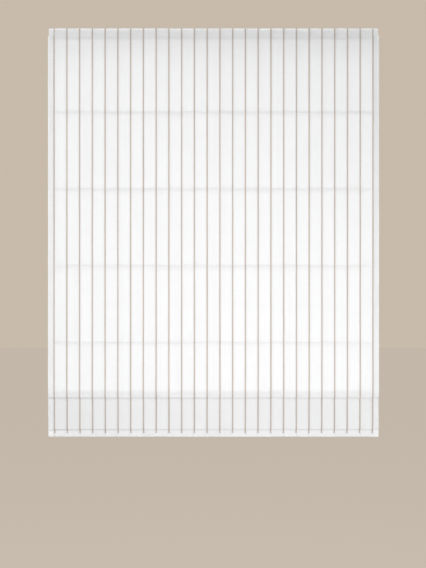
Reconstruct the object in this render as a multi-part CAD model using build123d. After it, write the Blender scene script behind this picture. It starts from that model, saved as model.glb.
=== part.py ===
from build123d import *
import math
import os

# A roman blind with a flat linen-like front, a woven pinstripe and a motor in its headrail.
# Millimetres. The origin is the middle of the centre bracket's top face, which is screwed
# up to a ceiling or window head. +Z is up, the printed front faces -Y, +X is to the right.
# The blind hangs as far down as its motor is set to go: the lowest folds stay gathered there.

# The cloth's width and heights
blind_width = 1000
heading_drop = 1  # from the mounting plane down to the cloth's top edge
top_panel = 251  # from the cloth's top edge to the first rod
rod_spacing = 232
first_nose_drop = 169  # from the fourth rod down to the upper front fold
first_nose_rise = 20  # from that fold back up to the fifth rod
stack_step = 9.5  # the gathered sixth rod lies this far below the fifth
pleat_drop = 116.5  # from the fifth rod down to the lower front fold
bottom_section = 129.5  # from the sixth rod down to the hem's bottom
corner_trim = 3  # the heading is drawn in by this much at each side
corner_drop = 21

# The cloth's layers, from the printed front backwards
face_thickness = 0.8
lining_thickness = 0.5
layer_gap = 0.2
nose_radius = 2.8  # outside radius of a front fold
tuck_gap = 0.5  # between the two printed faces where the cloth turns over behind
side_hem_width = 18
side_hem_edge = 3.7  # thickness of the turned edge, seen across the blind
lining_inset = 4
heading_turn = 0.8

# The woven stripes
stripe_pitch = 38.5
stripe_width = 4
stripe_margin = 18  # the least from a stripe's middle to the blind's edge
stripe_relief = 0.15

# The rods in their pockets, and the rings that the lift cords run through
rod_radius = 2.5
pocket_clearance = 0.3
pocket_end_inset = 30  # from the blind's edge to the end of a rod pocket
rod_overhang = 6  # a rod stands this far out of its pocket at each end
rod_tip_radius = 3
rod_tip_length = 9.7
tip_clearance = 0.1
ring_thickness = 2.2
ring_rim = 2.2
small_round_sides = 12  # small round pieces are drawn with this many flats
ring_hole_radius = 4.3
sewn_gap = 0.3
neck_height = 2
weld = 0.2  # how far a pocket's wall runs into the cloth that carries it
cut_margin = 1  # how far a cutter stands out of what it cuts

# The bottom hem and its flat bar
bar_height = 25
bar_thickness = 3
bar_bevel = 0.9
bar_clearance = 0.3
bar_cap_length = 4
bar_cap_wall = 0.2
hem_side_margin = 12  # from the blind's edge to the bar's capped end

# The lift cords
cord_inset = 100  # from the blind's edge to the outer cords
cord_radius = 0.7
cord_gap = 0.55  # between a cord and the rim of a ring's hole
anchor_radius = 3.8
anchor_height = 12
anchor_bore_clearance = 0.3
anchor_skin = 2

# The headrail, an aluminium channel that is open at the top
rail_depth = 40
rail_height = 34
rail_wall = 1.5
rail_lip = 6.5
rail_side_inset = 4  # from the blind's edge to the end cap's outer face
tape_height = 25
tape_drop = 4  # from the rail's top to the tape
hook_tape_thickness = 1.0
loop_tape_thickness = 0.9
tape_inset = 10
end_cap_thickness = 2
end_cap_plug = 10
end_cap_wall = 2
cap_clearance = 0.2
cap_corner = 2  # the plug's corners are cut by half of this

# The brackets that hang the headrail
bracket_plate = 2
bracket_width = 30
bracket_hook = 1.5
bracket_clearance = 0.3
bracket_reach = 4.9  # how far a hook's foot turns out under the rail's lip
bracket_lead = 1.2
bracket_corner = 2
end_bracket_inset = 60  # from the blind's edge to an end bracket's middle
screw_hole_radius = 2.25
screw_spacing = 16

# The lift shaft, its spools and their cradles
shaft_flats = 6
shaft_overhang = 40  # from the outer cords to the shaft's ends
hex_clearance = 0.1
spool_pitch_radius = 10  # from the shaft's axis to the middle of the wound cord
spool_flange_radius = 12.5
spool_flange = 1.2
spool_width = 24
spool_ramp = 2
ramp_rise = 1.5
journal_radius = 5
journal_clearance = 0.08
journal_proud = 0.5
spool_side_gap = 0.4
spool_floor_gap = 0.5
turns_left = 3  # turns of cord still on a spool with the blind down
turn_gap = 0.1
cradle_wall = 2.5
cradle_base = 1.5
cradle_clearance = 0.5
cradle_lug_half = 8.5  # half a bearing wall's width
collar_radius = 6
collar_length = 6
collar_gap = 0.4
grub_hole_radius = 1.25

# The cord guides, bushes in the channel's floor
guide_barrel_radius = 3
guide_barrel_clearance = 0.2
guide_bore_clearance = 0.5
guide_flange_radius = 4.8
guide_flange = 0.9

# The motor, which the shaft passes through
motor_offset = 53  # from the centre cradle to the motor's near end
motor_length = 190
motor_top_gap = 5  # below the rail's lips
motor_side_gap = 0.4
motor_corner = 3
motor_bore_clearance = 0.7
hub_radius = 6
hub_length = 6
hub_recess = 3
hub_clearance = 0.3
hub_end_gap = 0.3
socket_width = 9
socket_depth = 6
socket_height = 3.2
socket_margin = 1.5
socket_from_end = 22

# Places that follow from these sizes
half_width = blind_width / 2
front = -(rail_depth / 2 + hook_tape_thickness + loop_tape_thickness
          + lining_thickness + layer_gap + face_thickness)
rail_top = -bracket_plate
rail_bottom = rail_top - rail_height
floor_top = rail_bottom + rail_wall
rail_half_length = half_width - rail_side_inset - end_cap_thickness
cloth_top = -heading_drop
rod_z = [cloth_top - top_panel - i * rod_spacing for i in range(4)]
first_nose_z = rod_z[3] - first_nose_drop
rod_z.append(first_nose_z + first_nose_rise)
rod_z.append(rod_z[4] - stack_step)
second_nose_z = rod_z[4] - pleat_drop
hem_bottom = rod_z[5] - bottom_section

# Depths from front to back. A panel hangs in front of the fold that comes after it.
stack = face_thickness + layer_gap + lining_thickness
hem_inset = stack + layer_gap
full_stack = hem_inset + face_thickness
first_back = front + 2 * nose_radius
second_front = first_back + tuck_gap
second_back = second_front + 2 * nose_radius
hem_front = second_back + tuck_gap
pocket_bore = rod_radius + pocket_clearance
pocket_radius = pocket_bore + lining_thickness
pocket_set_back = stack + pocket_clearance + pocket_radius
pocket_y = [front + pocket_set_back] * 5 + [second_front + pocket_set_back]
ring_radius = ring_hole_radius + ring_rim
ring_set_back = pocket_radius + sewn_gap + ring_radius
ring_y = [y + ring_set_back for y in pocket_y]
tuck_radius = tuck_gap / 2 + stack
tuck_offset = first_back + tuck_gap / 2 - pocket_y[4]
tuck_drop = math.sqrt((pocket_radius + tuck_radius - weld) ** 2 - tuck_offset ** 2)
tuck_z = [rod_z[4] - tuck_drop, rod_z[5] - tuck_drop]
hem_turn_radius = face_thickness + bar_clearance + bar_thickness / 2
hem_pocket_top = hem_bottom + hem_turn_radius + bar_height + 2 * bar_clearance
pocket_half_length = half_width - pocket_end_inset
rod_half_length = pocket_half_length + rod_overhang

# The cords pass through every ring, just inside the front of the lowest ring's hole.
cord_y = ring_y[5] - ring_hole_radius + cord_radius + cord_gap
cord_spacing = half_width - cord_inset
cord_x = [-cord_spacing, 0, cord_spacing]
end_bracket_x = half_width - end_bracket_inset
shaft_half_length = cord_spacing + shaft_overhang
shaft_y = cord_y + spool_pitch_radius
shaft_z = floor_top + cradle_base + spool_floor_gap + spool_flange_radius
take_off = spool_width / 2 - spool_ramp - turn_gap - cord_radius
spool_x = [x - take_off for x in cord_x]
ring_under = rod_z[5] - ring_thickness / 2
anchor_bottom = ring_under - anchor_height
cord_bottom = anchor_bottom + anchor_skin
bore_flats = shaft_flats + 2 * hex_clearance
shaft_corner = shaft_flats / math.sqrt(3)
barrel_radius = spool_pitch_radius - cord_radius
cradle_inner = spool_width / 2 + spool_flange + spool_side_gap
cradle_outer = cradle_inner + cradle_wall
motor_x = spool_x[1] + cradle_outer + motor_offset + motor_length / 2

os.makedirs("parts", exist_ok=True)


def write(name, *pieces):
    """Save one node; separate solids in it stay separate."""
    solids = [solid for piece in pieces for solid in piece.solids()]
    shape = solids[0] if len(solids) == 1 else Compound(solids)
    export_step(shape, f"parts/{name}.step")


def across(profile, x_from, x_to):
    """Extrude a profile, drawn with Y to the right and Z up, from one X to another."""
    return Pos(x_from, 0, 0) * extrude(Plane.YZ * profile, x_to - x_from)


def both_sides(profile, inner, outer):
    return [across(profile, -outer, -inner), across(profile, inner, outer)]


def box(x, y, z):
    """A box between pairs of values."""
    size = [b - a for a, b in (x, y, z)]
    return Pos(*[(a + b) / 2 for a, b in (x, y, z)]) * Box(*size)


def rectangle(y_from, y_to, z_from, z_to):
    place = Pos((y_from + y_to) / 2, (z_from + z_to) / 2)
    return place * Rectangle(y_to - y_from, z_to - z_from)


def hexagon(flats):
    return RegularPolygon(flats / 2, 6, major_radius=False)


# Small round pieces and bores have flats, which keeps a blind full of them light.
def round_outside(radius):
    """An outline with its corners on this circle."""
    return RegularPolygon(radius, small_round_sides)


def round_bore(radius):
    """An outline with its flats on this circle, one of them square to each axis."""
    return RegularPolygon(radius, small_round_sides, major_radius=False,
                          rotation=180 / small_round_sides)


def bevelled(width, height, bevel):
    """A rectangle with its corners cut off."""
    outline = Rectangle(width, height)
    return chamfer(outline.vertices(), bevel)


def on_shaft(outline):
    return Pos(shaft_y, shaft_z) * outline


# Cloth. A layer is drawn once through the whole blind: down the front, round each front
# fold, up behind it, over the tuck at the next rod and down again.
def half_ring(y, z, outer, thickness, above):
    side = outer if above else -outer
    ring = Circle(outer) - Circle(outer - thickness)
    return Pos(y, z) * (ring & Pos(0, side / 2) * Rectangle(2 * outer, outer))


def front_run(depth, inset, thickness, top, bottom):
    """A stretch whose printed side faces the room, at this depth."""
    return rectangle(depth + inset, depth + inset + thickness, bottom, top)


def back_run(depth, inset, thickness, top, bottom):
    """A stretch whose printed side faces the window."""
    return rectangle(depth - inset - thickness, depth - inset, bottom, top)


def nose(depth, z, inset, thickness):
    """A front fold whose lowest point is at this height."""
    return half_ring(depth + nose_radius, z + nose_radius, nose_radius - inset, thickness, False)


def tuck(depth, z, inset, thickness):
    """The turn over a gathered rod, printed side inwards."""
    outer = tuck_gap / 2 + inset + thickness
    return half_ring(depth + tuck_gap / 2, z, outer, thickness, True)


def layer(inset, thickness, top, bottom):
    first_centre = first_nose_z + nose_radius
    second_centre = second_nose_z + nose_radius
    return (
        front_run(front, inset, thickness, top, first_centre)
        + nose(front, first_nose_z, inset, thickness)
        + back_run(first_back, inset, thickness, tuck_z[0], first_centre)
        + tuck(first_back, tuck_z[0], inset, thickness)
        + front_run(second_front, inset, thickness, tuck_z[0], second_centre)
        + nose(second_front, second_nose_z, inset, thickness)
        + back_run(second_back, inset, thickness, tuck_z[1], second_centre)
        + tuck(second_back, tuck_z[1], inset, thickness)
        + front_run(hem_front, inset, thickness, tuck_z[1], bottom)
    )


def bottom_hem():
    """The face cloth turned up behind the bottom bar and sewn to itself."""
    turn_z = hem_bottom + hem_turn_radius
    back = hem_front + 2 * hem_turn_radius
    return (
        half_ring(hem_front + hem_turn_radius, turn_z, hem_turn_radius, face_thickness, False)
        + rectangle(back - face_thickness, back, turn_z, hem_pocket_top)
        + rectangle(hem_front, back, hem_pocket_top - face_thickness, hem_pocket_top)
    )


def make_face_fabric():
    """The printed cloth with its side hems turned round the lining's edges."""
    face = layer(0, face_thickness, cloth_top, hem_bottom + hem_turn_radius)
    heading = rectangle(front, front + stack, cloth_top - heading_turn, cloth_top)
    cloth = across(face + bottom_hem() + heading, -half_width, half_width)
    edge = layer(0, full_stack, cloth_top - tape_drop - tape_height - 2 * heading_turn,
                 hem_pocket_top)
    turned = layer(hem_inset, face_thickness,
                   cloth_top - tape_drop - tape_height - 2 * heading_turn, hem_pocket_top)
    for piece in both_sides(edge, half_width - side_hem_edge, half_width):
        cloth += piece
    for piece in both_sides(turned, half_width - side_hem_width, half_width):
        cloth += piece
    for side in (-1, 1):
        corner = box((half_width - corner_trim, half_width + cut_margin),
                     (front - cut_margin, front + full_stack + cut_margin),
                     (cloth_top - corner_drop, cloth_top + cut_margin))
        cloth -= corner if side > 0 else mirror(corner, about=Plane.YZ)
    return cloth


def make_lining():
    """A plain lining with a tube sewn across it for each rod."""
    inset = face_thickness + layer_gap
    top = cloth_top - heading_turn - layer_gap
    sheet = layer(inset, lining_thickness, top, hem_pocket_top + layer_gap)
    half = half_width - lining_inset
    lining = across(sheet, -half, half)
    back = front + stack
    for y, z in zip(pocket_y, rod_z):
        tube = Pos(y, z) * round_bore(pocket_radius)
        if z in rod_z[:4]:
            tube += rectangle(back - lining_thickness, y, z - neck_height / 2, z + neck_height / 2)
        lining += across(tube, -pocket_half_length, pocket_half_length)
    for y, z in zip(pocket_y, rod_z):
        lining -= across(Pos(y, z) * round_bore(pocket_bore), -half_width, half_width)
    return lining


def make_stripes():
    """Each stripe shows on the main front, on the panel below the first fold and on the hem."""
    stretches = ((front, cloth_top, first_nose_z + nose_radius),
                 (second_front, tuck_z[0], second_nose_z + nose_radius),
                 (hem_front, tuck_z[1], hem_bottom + hem_turn_radius))
    stripes_each_side = int((half_width - stripe_margin) / stripe_pitch + 0.5)
    centres = [side * (i + 0.5) * stripe_pitch
               for side in (-1, 1) for i in range(stripes_each_side)]
    return [across(front_run(depth, -stripe_relief, stripe_relief, top, bottom),
                   x - stripe_width / 2, x + stripe_width / 2)
            for x in centres for depth, top, bottom in stretches]


write("face_fabric", make_face_fabric())
write("lining", make_lining())
write("woven_stripes", *make_stripes())


# Rods slide into their pockets from the side and get a tip on each end. Each pocket has
# a flat ring sewn on its back for every lift cord.
def make_ring(x, y, z):
    ring = round_outside(ring_radius) - round_bore(ring_hole_radius)
    return Pos(x, y, z) * extrude(ring, ring_thickness / 2, both=True)


def make_rod_tips(y, z):
    start = pocket_half_length + pocket_clearance
    tip = across(Pos(y, z) * round_outside(rod_tip_radius), start, start + rod_tip_length)
    tip -= across(Pos(y, z) * round_bore(rod_radius + tip_clearance), start - cut_margin,
                  rod_half_length + tip_clearance)
    return [tip, mirror(tip, about=Plane.YZ)]


for number, (y, z, ring_depth) in enumerate(zip(pocket_y, rod_z, ring_y), start=1):
    rod_outline = Pos(y, z) * round_outside(rod_radius)
    write(f"rod_{number}", across(rod_outline, -rod_half_length, rod_half_length))
    write(f"rod_tips_{number}", *make_rod_tips(y, z))
    write(f"rod_rings_{number}", *[make_ring(x, ring_depth, z) for x in cord_x])


# The bottom bar lies in the hem pocket, with a cap on each end.
bar_y = hem_front + hem_turn_radius
bar_bottom = hem_bottom + face_thickness + bar_clearance + (hem_turn_radius - face_thickness) / 2
bar_half_length = half_width - hem_side_margin - bar_cap_wall


def bar_section(grow=0):
    """The bar's outline, grown all round by this much for its caps."""
    width, height = bar_thickness + 2 * grow, bar_height - 2 * bar_clearance + 2 * grow
    middle = bar_bottom + (bar_height - 2 * bar_clearance) / 2
    return Pos(bar_y, middle) * bevelled(width, height, bar_bevel + grow / 2)


bar_cap = across(bar_section(bar_cap_wall), bar_half_length - bar_cap_length,
                 bar_half_length + bar_cap_wall)
bar_cap -= across(bar_section(), bar_half_length - bar_cap_length - cut_margin, bar_half_length)
write("bottom_bar", across(bar_section(), -bar_half_length, bar_half_length))
write("bottom_bar_caps", bar_cap, mirror(bar_cap, about=Plane.YZ))


# Lift cords run down from the spools through the rings to an anchor under the lowest ring.
def make_anchor(x):
    anchor = extrude(round_outside(anchor_radius), -anchor_height)
    anchor = chamfer(anchor.faces().sort_by(Axis.Z)[0].edges(), anchor_radius / 3)
    bore = extrude(round_bore(cord_radius + anchor_bore_clearance),
                   cord_bottom - anchor_bore_clearance - ring_under)
    return Pos(x, cord_y, ring_under) * (anchor - bore)


def make_cord(x):
    cord = extrude(round_outside(cord_radius), cord_bottom - shaft_z)
    return Pos(x, cord_y, shaft_z) * cord


write("cord_anchors", *[make_anchor(x) for x in cord_x])
for side, x in zip(("left", "centre", "right"), cord_x):
    write(f"lift_cord_{side}", make_cord(x))


# The headrail's channel has in-turned lips, cord holes and a window under the motor's socket.
def channel_profile():
    half = rail_depth / 2
    middle = Pos(0, rail_top - rail_height / 2)
    outside = RectangleRounded(rail_depth, rail_height, rail_wall)
    inside = Rectangle(rail_depth - 2 * rail_wall, rail_height - 2 * rail_wall)
    mouth = half - rail_lip
    slot = rectangle(-mouth, mouth, rail_top - 2 * rail_wall, rail_top + cut_margin)
    return middle * (outside - inside) - slot


motor_socket_x = motor_x + motor_length / 2 - socket_from_end


def socket_window(margin, z_from, z_to):
    half_x, half_y = socket_width / 2 + margin, socket_depth / 2 + margin
    return box((motor_socket_x - half_x, motor_socket_x + half_x), (-half_y, half_y),
               (z_from, z_to))


guide_hole_radius = guide_barrel_radius + guide_barrel_clearance


def make_headrail():
    rail = across(channel_profile(), -rail_half_length, rail_half_length)
    hole = extrude(round_bore(guide_hole_radius), 2 * rail_wall, both=True)
    for x in cord_x:
        rail -= Pos(x, cord_y, rail_bottom) * hole
    return rail - socket_window(socket_margin, rail_bottom - rail_wall, floor_top + rail_wall)


def make_end_cap():
    """A cap for the right end; its hollow plug fits inside the channel."""
    start = rail_half_length
    middle = Pos(0, rail_top - rail_height / 2)
    plug_depth = rail_depth - 2 * (rail_wall + cap_clearance)
    plug_height = rail_height - 2 * (rail_wall + cap_clearance)
    plug = bevelled(plug_depth, plug_height, cap_corner / 2)
    hollow = Rectangle(plug_depth - 2 * end_cap_wall, plug_height - 2 * end_cap_wall)
    cap = across(middle * RectangleRounded(rail_depth, rail_height, rail_wall), start,
                 start + end_cap_thickness)
    return cap + across(middle * (plug - hollow), start - end_cap_plug, start)


end_cap = make_end_cap()
write("headrail", make_headrail())
write("end_cap_right", end_cap)
write("end_cap_left", mirror(end_cap, about=Plane.YZ))

tape_top = rail_top - tape_drop
tape_front = -rail_depth / 2 - hook_tape_thickness
tape_half = half_width - tape_inset
tape_z = (tape_top - tape_height, tape_top)
write("hook_tape", box((-tape_half, tape_half), (tape_front, -rail_depth / 2), tape_z))
write("loop_tape", box((-tape_half, tape_half), (tape_front - loop_tape_thickness, tape_front),
                       tape_z))


# A bracket is one bent strip: a plate with two hooks that grip under the rail's lips.
def hook_profile():
    """The rear hook, with a sloped toe that the rail's lip rides over as it snaps in."""
    mouth = rail_depth / 2 - rail_lip
    leg = mouth - bracket_clearance
    foot_top = rail_top - rail_wall - bracket_clearance
    foot_bottom = foot_top - bracket_hook
    toe = leg + bracket_reach
    outline = Polyline((leg - bracket_hook, rail_top + bracket_plate / 2),
                       (leg, rail_top + bracket_plate / 2), (leg, foot_top), (toe, foot_top),
                       (toe, foot_top - bracket_hook / 3), (toe - bracket_lead, foot_bottom),
                       (leg - bracket_hook, foot_bottom), close=True)
    return make_face(outline)


def make_bracket(x):
    mouth = rail_depth / 2 - rail_lip
    plate = rectangle(-mouth - bracket_reach, mouth + bracket_reach, rail_top, 0)
    hook = hook_profile()
    bracket = across(plate + hook + mirror(hook, about=Plane.YZ), -bracket_width / 2,
                     bracket_width / 2)
    bracket = chamfer(bracket.edges().filter_by(Axis.Z).filter_by_position(
        Axis.Z, rail_top / 2, rail_top / 2), bracket_corner)
    for y in (-screw_spacing / 2, screw_spacing / 2):
        bracket -= Pos(0, y, rail_top) * Cylinder(screw_hole_radius, 3 * bracket_plate)
    return Pos(x, 0, 0) * bracket


for side, x in zip(("left", "centre", "right"), (-end_bracket_x, 0, end_bracket_x)):
    write(f"bracket_{side}", make_bracket(x))


# A cradle stands on the channel's floor and carries a spool by its two journals.
def make_cradle(x):
    inner_half = rail_depth / 2 - rail_wall - cradle_clearance
    base_top = floor_top + cradle_base
    base = across(rectangle(-inner_half, inner_half, floor_top, base_top),
                  x - cradle_outer, x + cradle_outer)
    lug = rectangle(shaft_y - cradle_lug_half, shaft_y + cradle_lug_half, floor_top,
                    shaft_z + cradle_lug_half)
    lug = chamfer(lug.vertices().sort_by(Axis.Y)[-2:], cradle_lug_half / 2)
    wall = lug - on_shaft(Circle(journal_radius + journal_clearance))
    for side in (-1, 1):
        near, far = sorted((side * cradle_inner, side * cradle_outer))
        base += across(wall, x + near, x + far)
    hole = extrude(round_bore(guide_hole_radius), 2 * cradle_base, both=True)
    return base - Pos(x + take_off, cord_y, floor_top) * hole


# A spool turns with the shaft. Its ramp pushes each new turn of cord along the barrel.
def make_spool(x):
    half = spool_width / 2
    barrel_outline = on_shaft(round_outside(barrel_radius))
    barrel = across(barrel_outline, x - half, x + half)
    for side in (-1, 1):
        near, far = sorted((side * half, side * (half + spool_flange)))
        barrel += across(on_shaft(round_outside(spool_flange_radius)), x + near, x + far)
        near, far = sorted((side * half, side * (cradle_outer + journal_proud)))
        barrel += across(on_shaft(Circle(journal_radius)), x + near, x + far)
    ramp_foot = Plane.YZ.offset(x + half - spool_ramp) * barrel_outline
    ramp_head = Plane.YZ.offset(x + half) * on_shaft(round_outside(barrel_radius + ramp_rise))
    barrel += loft([ramp_foot.face(), ramp_head.face()])
    return barrel - across(on_shaft(hexagon(bore_flats)), x - 2 * half, x + 2 * half)


def make_winding(x):
    """The turns of cord left on a spool, as one sleeve beside the turn that runs off."""
    end = x + take_off - cord_radius - turn_gap
    ring = round_outside(spool_pitch_radius + cord_radius) - round_outside(barrel_radius)
    return across(on_shaft(ring), end - turns_left * 2 * cord_radius, end)


def make_guide(x):
    """A bush pushed up through the floor and the cradle, so that no edge chafes the cord."""
    flange = extrude(round_outside(guide_flange_radius), -guide_flange)
    barrel = extrude(round_outside(guide_barrel_radius), rail_wall + cradle_base)
    bore = extrude(round_bore(cord_radius + guide_bore_clearance), 3 * rail_wall, both=True)
    return Pos(x, cord_y, rail_bottom) * (flange + barrel - bore)


for side, x in zip(("left", "centre", "right"), spool_x):
    write(f"spool_cradle_{side}", make_cradle(x))
    write(f"spool_{side}", make_spool(x))
    write(f"cord_winding_{side}", make_winding(x))
write("cord_guides", *[make_guide(x) for x in cord_x])
write("lift_shaft", across(on_shaft(hexagon(shaft_flats)), -shaft_half_length, shaft_half_length))


def make_collar(x):
    """A stop on the shaft beside an outer cradle, with a grub screw's hole."""
    outline = round_outside(collar_radius) - hexagon(bore_flats)
    collar = across(on_shaft(outline), x - collar_length / 2, x + collar_length / 2)
    hole = extrude(round_bore(grub_hole_radius), collar_radius + cut_margin)
    return collar - Pos(x, shaft_y, shaft_z) * hole


collar_step = cradle_outer + journal_proud + collar_gap + collar_length / 2
write("shaft_collars", make_collar(spool_x[0] - collar_step), make_collar(spool_x[2] + collar_step))


# The motor is a sealed body on the channel's floor. The shaft runs through it and turns
# with two hubs set in its ends.
def make_motor():
    half_y = rail_depth / 2 - rail_wall - motor_side_gap
    top = rail_top - rail_wall - motor_top_gap
    start, end = motor_x - motor_length / 2, motor_x + motor_length / 2
    outline = rectangle(-half_y, half_y, floor_top, top)
    outline = fillet(outline.vertices(), motor_corner)
    body = across(outline, start, end)
    bore = on_shaft(round_bore(shaft_corner + motor_bore_clearance))
    recess = on_shaft(round_bore(hub_radius + hub_clearance))
    body -= across(bore, start - cut_margin, end + cut_margin)
    body -= across(recess, start - cut_margin, start + hub_recess)
    body -= across(recess, end - hub_recess, end + cut_margin)
    return body - socket_window(0, floor_top - cut_margin, floor_top + socket_height)


def make_hub(side):
    face = motor_x + side * motor_length / 2
    inner = face - side * (hub_recess - hub_end_gap)
    near, far = sorted((inner, inner + side * hub_length))
    return across(on_shaft(round_outside(hub_radius) - hexagon(bore_flats)), near, far)


write("lift_motor", make_motor())
write("motor_hubs", make_hub(-1), make_hub(1))

print("cloth front", front, "rods at", [round(z, 1) for z in rod_z])
print("folds at", first_nose_z, second_nose_z, "hem bottom", hem_bottom)
print("cord y", round(cord_y, 2), "shaft", round(shaft_y, 2), round(shaft_z, 2))
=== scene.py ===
# %% [markdown]
# A roman blind is one flat cloth that hangs from a rail and folds up on rods. The packed
# model has every hard piece in its place, with plain stand-ins for the cloth and the small
# round pieces. Here the cloth is woven, hemmed, stitched and hung, and each hard piece gets
# its finish. All sizes are metres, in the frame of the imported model.

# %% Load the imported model
import math

import bmesh
import bpy
import numpy as np
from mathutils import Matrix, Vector


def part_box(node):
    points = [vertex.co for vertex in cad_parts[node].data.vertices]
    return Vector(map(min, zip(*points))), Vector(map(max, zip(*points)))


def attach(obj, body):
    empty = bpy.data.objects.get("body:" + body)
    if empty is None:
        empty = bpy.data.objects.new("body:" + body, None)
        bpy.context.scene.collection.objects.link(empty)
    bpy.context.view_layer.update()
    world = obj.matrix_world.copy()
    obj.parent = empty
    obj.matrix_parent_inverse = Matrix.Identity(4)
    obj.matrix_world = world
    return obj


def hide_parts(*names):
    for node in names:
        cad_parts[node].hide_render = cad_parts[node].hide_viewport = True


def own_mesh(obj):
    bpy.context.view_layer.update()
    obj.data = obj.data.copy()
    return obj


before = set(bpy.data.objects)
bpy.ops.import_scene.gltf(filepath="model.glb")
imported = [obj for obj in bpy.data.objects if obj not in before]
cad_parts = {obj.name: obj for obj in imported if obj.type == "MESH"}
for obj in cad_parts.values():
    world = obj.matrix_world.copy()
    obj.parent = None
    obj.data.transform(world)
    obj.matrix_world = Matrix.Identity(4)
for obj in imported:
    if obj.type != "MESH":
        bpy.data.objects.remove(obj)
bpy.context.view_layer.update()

mm = 0.001

# %% [markdown]
# The camera comes first, because every choice of light and finish is judged through it. The
# blind is seen square on from three metres, a little below its middle, so no lens shift is
# needed. The picture is 426 by 568, and its long side covers 1.72 m at the cloth.

# %% Camera
picture_width, picture_height = 426, 568
cloth_low, cloth_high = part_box("face_fabric")
pixel = 3.019 * mm  # what one pixel covers at the cloth
camera_distance = 3.0
middle_column, top_row = 213.5, 28.4  # where the photo shows the cloth's middle and top edge
camera_data = bpy.data.cameras.new("camera")
camera_data.lens = camera_data.sensor_width * camera_distance / (picture_height * pixel)
camera = bpy.data.objects.new("camera", camera_data)
camera.location = ((picture_width / 2 - middle_column) * pixel, cloth_low.y - camera_distance,
                   cloth_high.z - (picture_height / 2 - top_row) * pixel)
camera.rotation_euler = (math.pi / 2, 0, 0)
bpy.context.scene.collection.objects.link(camera)
bpy.context.scene.camera = camera
print("camera at", [round(v, 4) for v in camera.location], "lens", round(camera_data.lens, 2))

# %% [markdown]
# The world gives an even light and a pale, warm ground for the picture. Only the camera and
# clear or shiny surfaces see the warm colour. Light that soaks through cloth counts as both
# transmitted and diffuse, so the diffuse rays are taken out and the cloth keeps its own white.

# %% World, lamps and floor
backdrop_colour = (0.575, 0.495, 0.41, 1)
fill_strength = 0.48


def picture_rays(tree):
    """1 for the rays that show the background: to the camera, in a gloss or through glass."""
    path = tree.nodes.new("ShaderNodeLightPath")
    steps = [("SUBTRACT", path.outputs["Is Transmission Ray"], path.outputs["Is Diffuse Ray"]),
             ("MAXIMUM", None, path.outputs["Is Glossy Ray"]),
             ("MAXIMUM", None, path.outputs["Is Camera Ray"])]
    for operation, first, second in steps:
        node = tree.nodes.new("ShaderNodeMath")
        node.operation = operation
        tree.links.new(first or result, node.inputs[0])
        tree.links.new(second, node.inputs[1])
        result = node.outputs[0]
    return result


def make_world():
    world = bpy.data.worlds.new("studio")
    bpy.context.scene.world = world
    world.use_nodes = True
    tree = world.node_tree
    tree.nodes.clear()
    out = tree.nodes.new("ShaderNodeOutputWorld")
    mix = tree.nodes.new("ShaderNodeMixShader")
    light = tree.nodes.new("ShaderNodeBackground")
    seen = tree.nodes.new("ShaderNodeBackground")
    picture = picture_rays(tree)
    light.inputs["Color"].default_value = (0.965, 0.985, 1, 1)
    light.inputs["Strength"].default_value = fill_strength
    seen.inputs["Color"].default_value = backdrop_colour
    seen.inputs["Strength"].default_value = 1
    tree.links.new(picture, mix.inputs[0])
    tree.links.new(light.outputs[0], mix.inputs[1])
    tree.links.new(seen.outputs[0], mix.inputs[2])
    tree.links.new(mix.outputs[0], out.inputs[0])


def add_lamp(name, place, target, size, power):
    """A square lamp at place that points at target; size in metres, power in watts."""
    data = bpy.data.lights.new(name, "AREA")
    data.shape = "SQUARE"
    data.size = size
    data.energy = power
    lamp = bpy.data.objects.new(name, data)
    lamp.location = place
    lamp.rotation_euler = (Vector(target) - Vector(place)).to_track_quat("-Z", "Y").to_euler()
    lamp.visible_camera = False
    bpy.context.scene.collection.objects.link(lamp)


make_world()
add_lamp("key_lamp", (0.36, -1.8, -1.1), (0.05, 0, -1.05), 1.2, 27)
add_lamp("side_lamp", (-1.9, -2.2, 0.2), (-0.1, 0, -0.8), 1.6, 37)
add_lamp("window_lamp", (0, 3.2, 4.2), (0, 0, -0.7), 3, 242)

floor_level, floor_reach = -2.9, 30
floor_corners = [(x * floor_reach, y * floor_reach, floor_level)
                 for x, y in ((-1, -1), (1, -1), (1, 1), (-1, 1))]
floor_mesh = bpy.data.meshes.new("floor")
floor_mesh.from_pydata(floor_corners, [], [(0, 1, 2, 3)])
floor = bpy.data.objects.new("floor", floor_mesh)
bpy.context.scene.collection.objects.link(floor)
print("3 lamps and a floor at", floor_level)

# %% [markdown]
# Every finish below starts from the same few steps, so they are helpers: a new material with
# its Principled shader, and short names for the nodes that a finish strings together. A value
# that is the same all over goes straight on the shader's socket.

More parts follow.
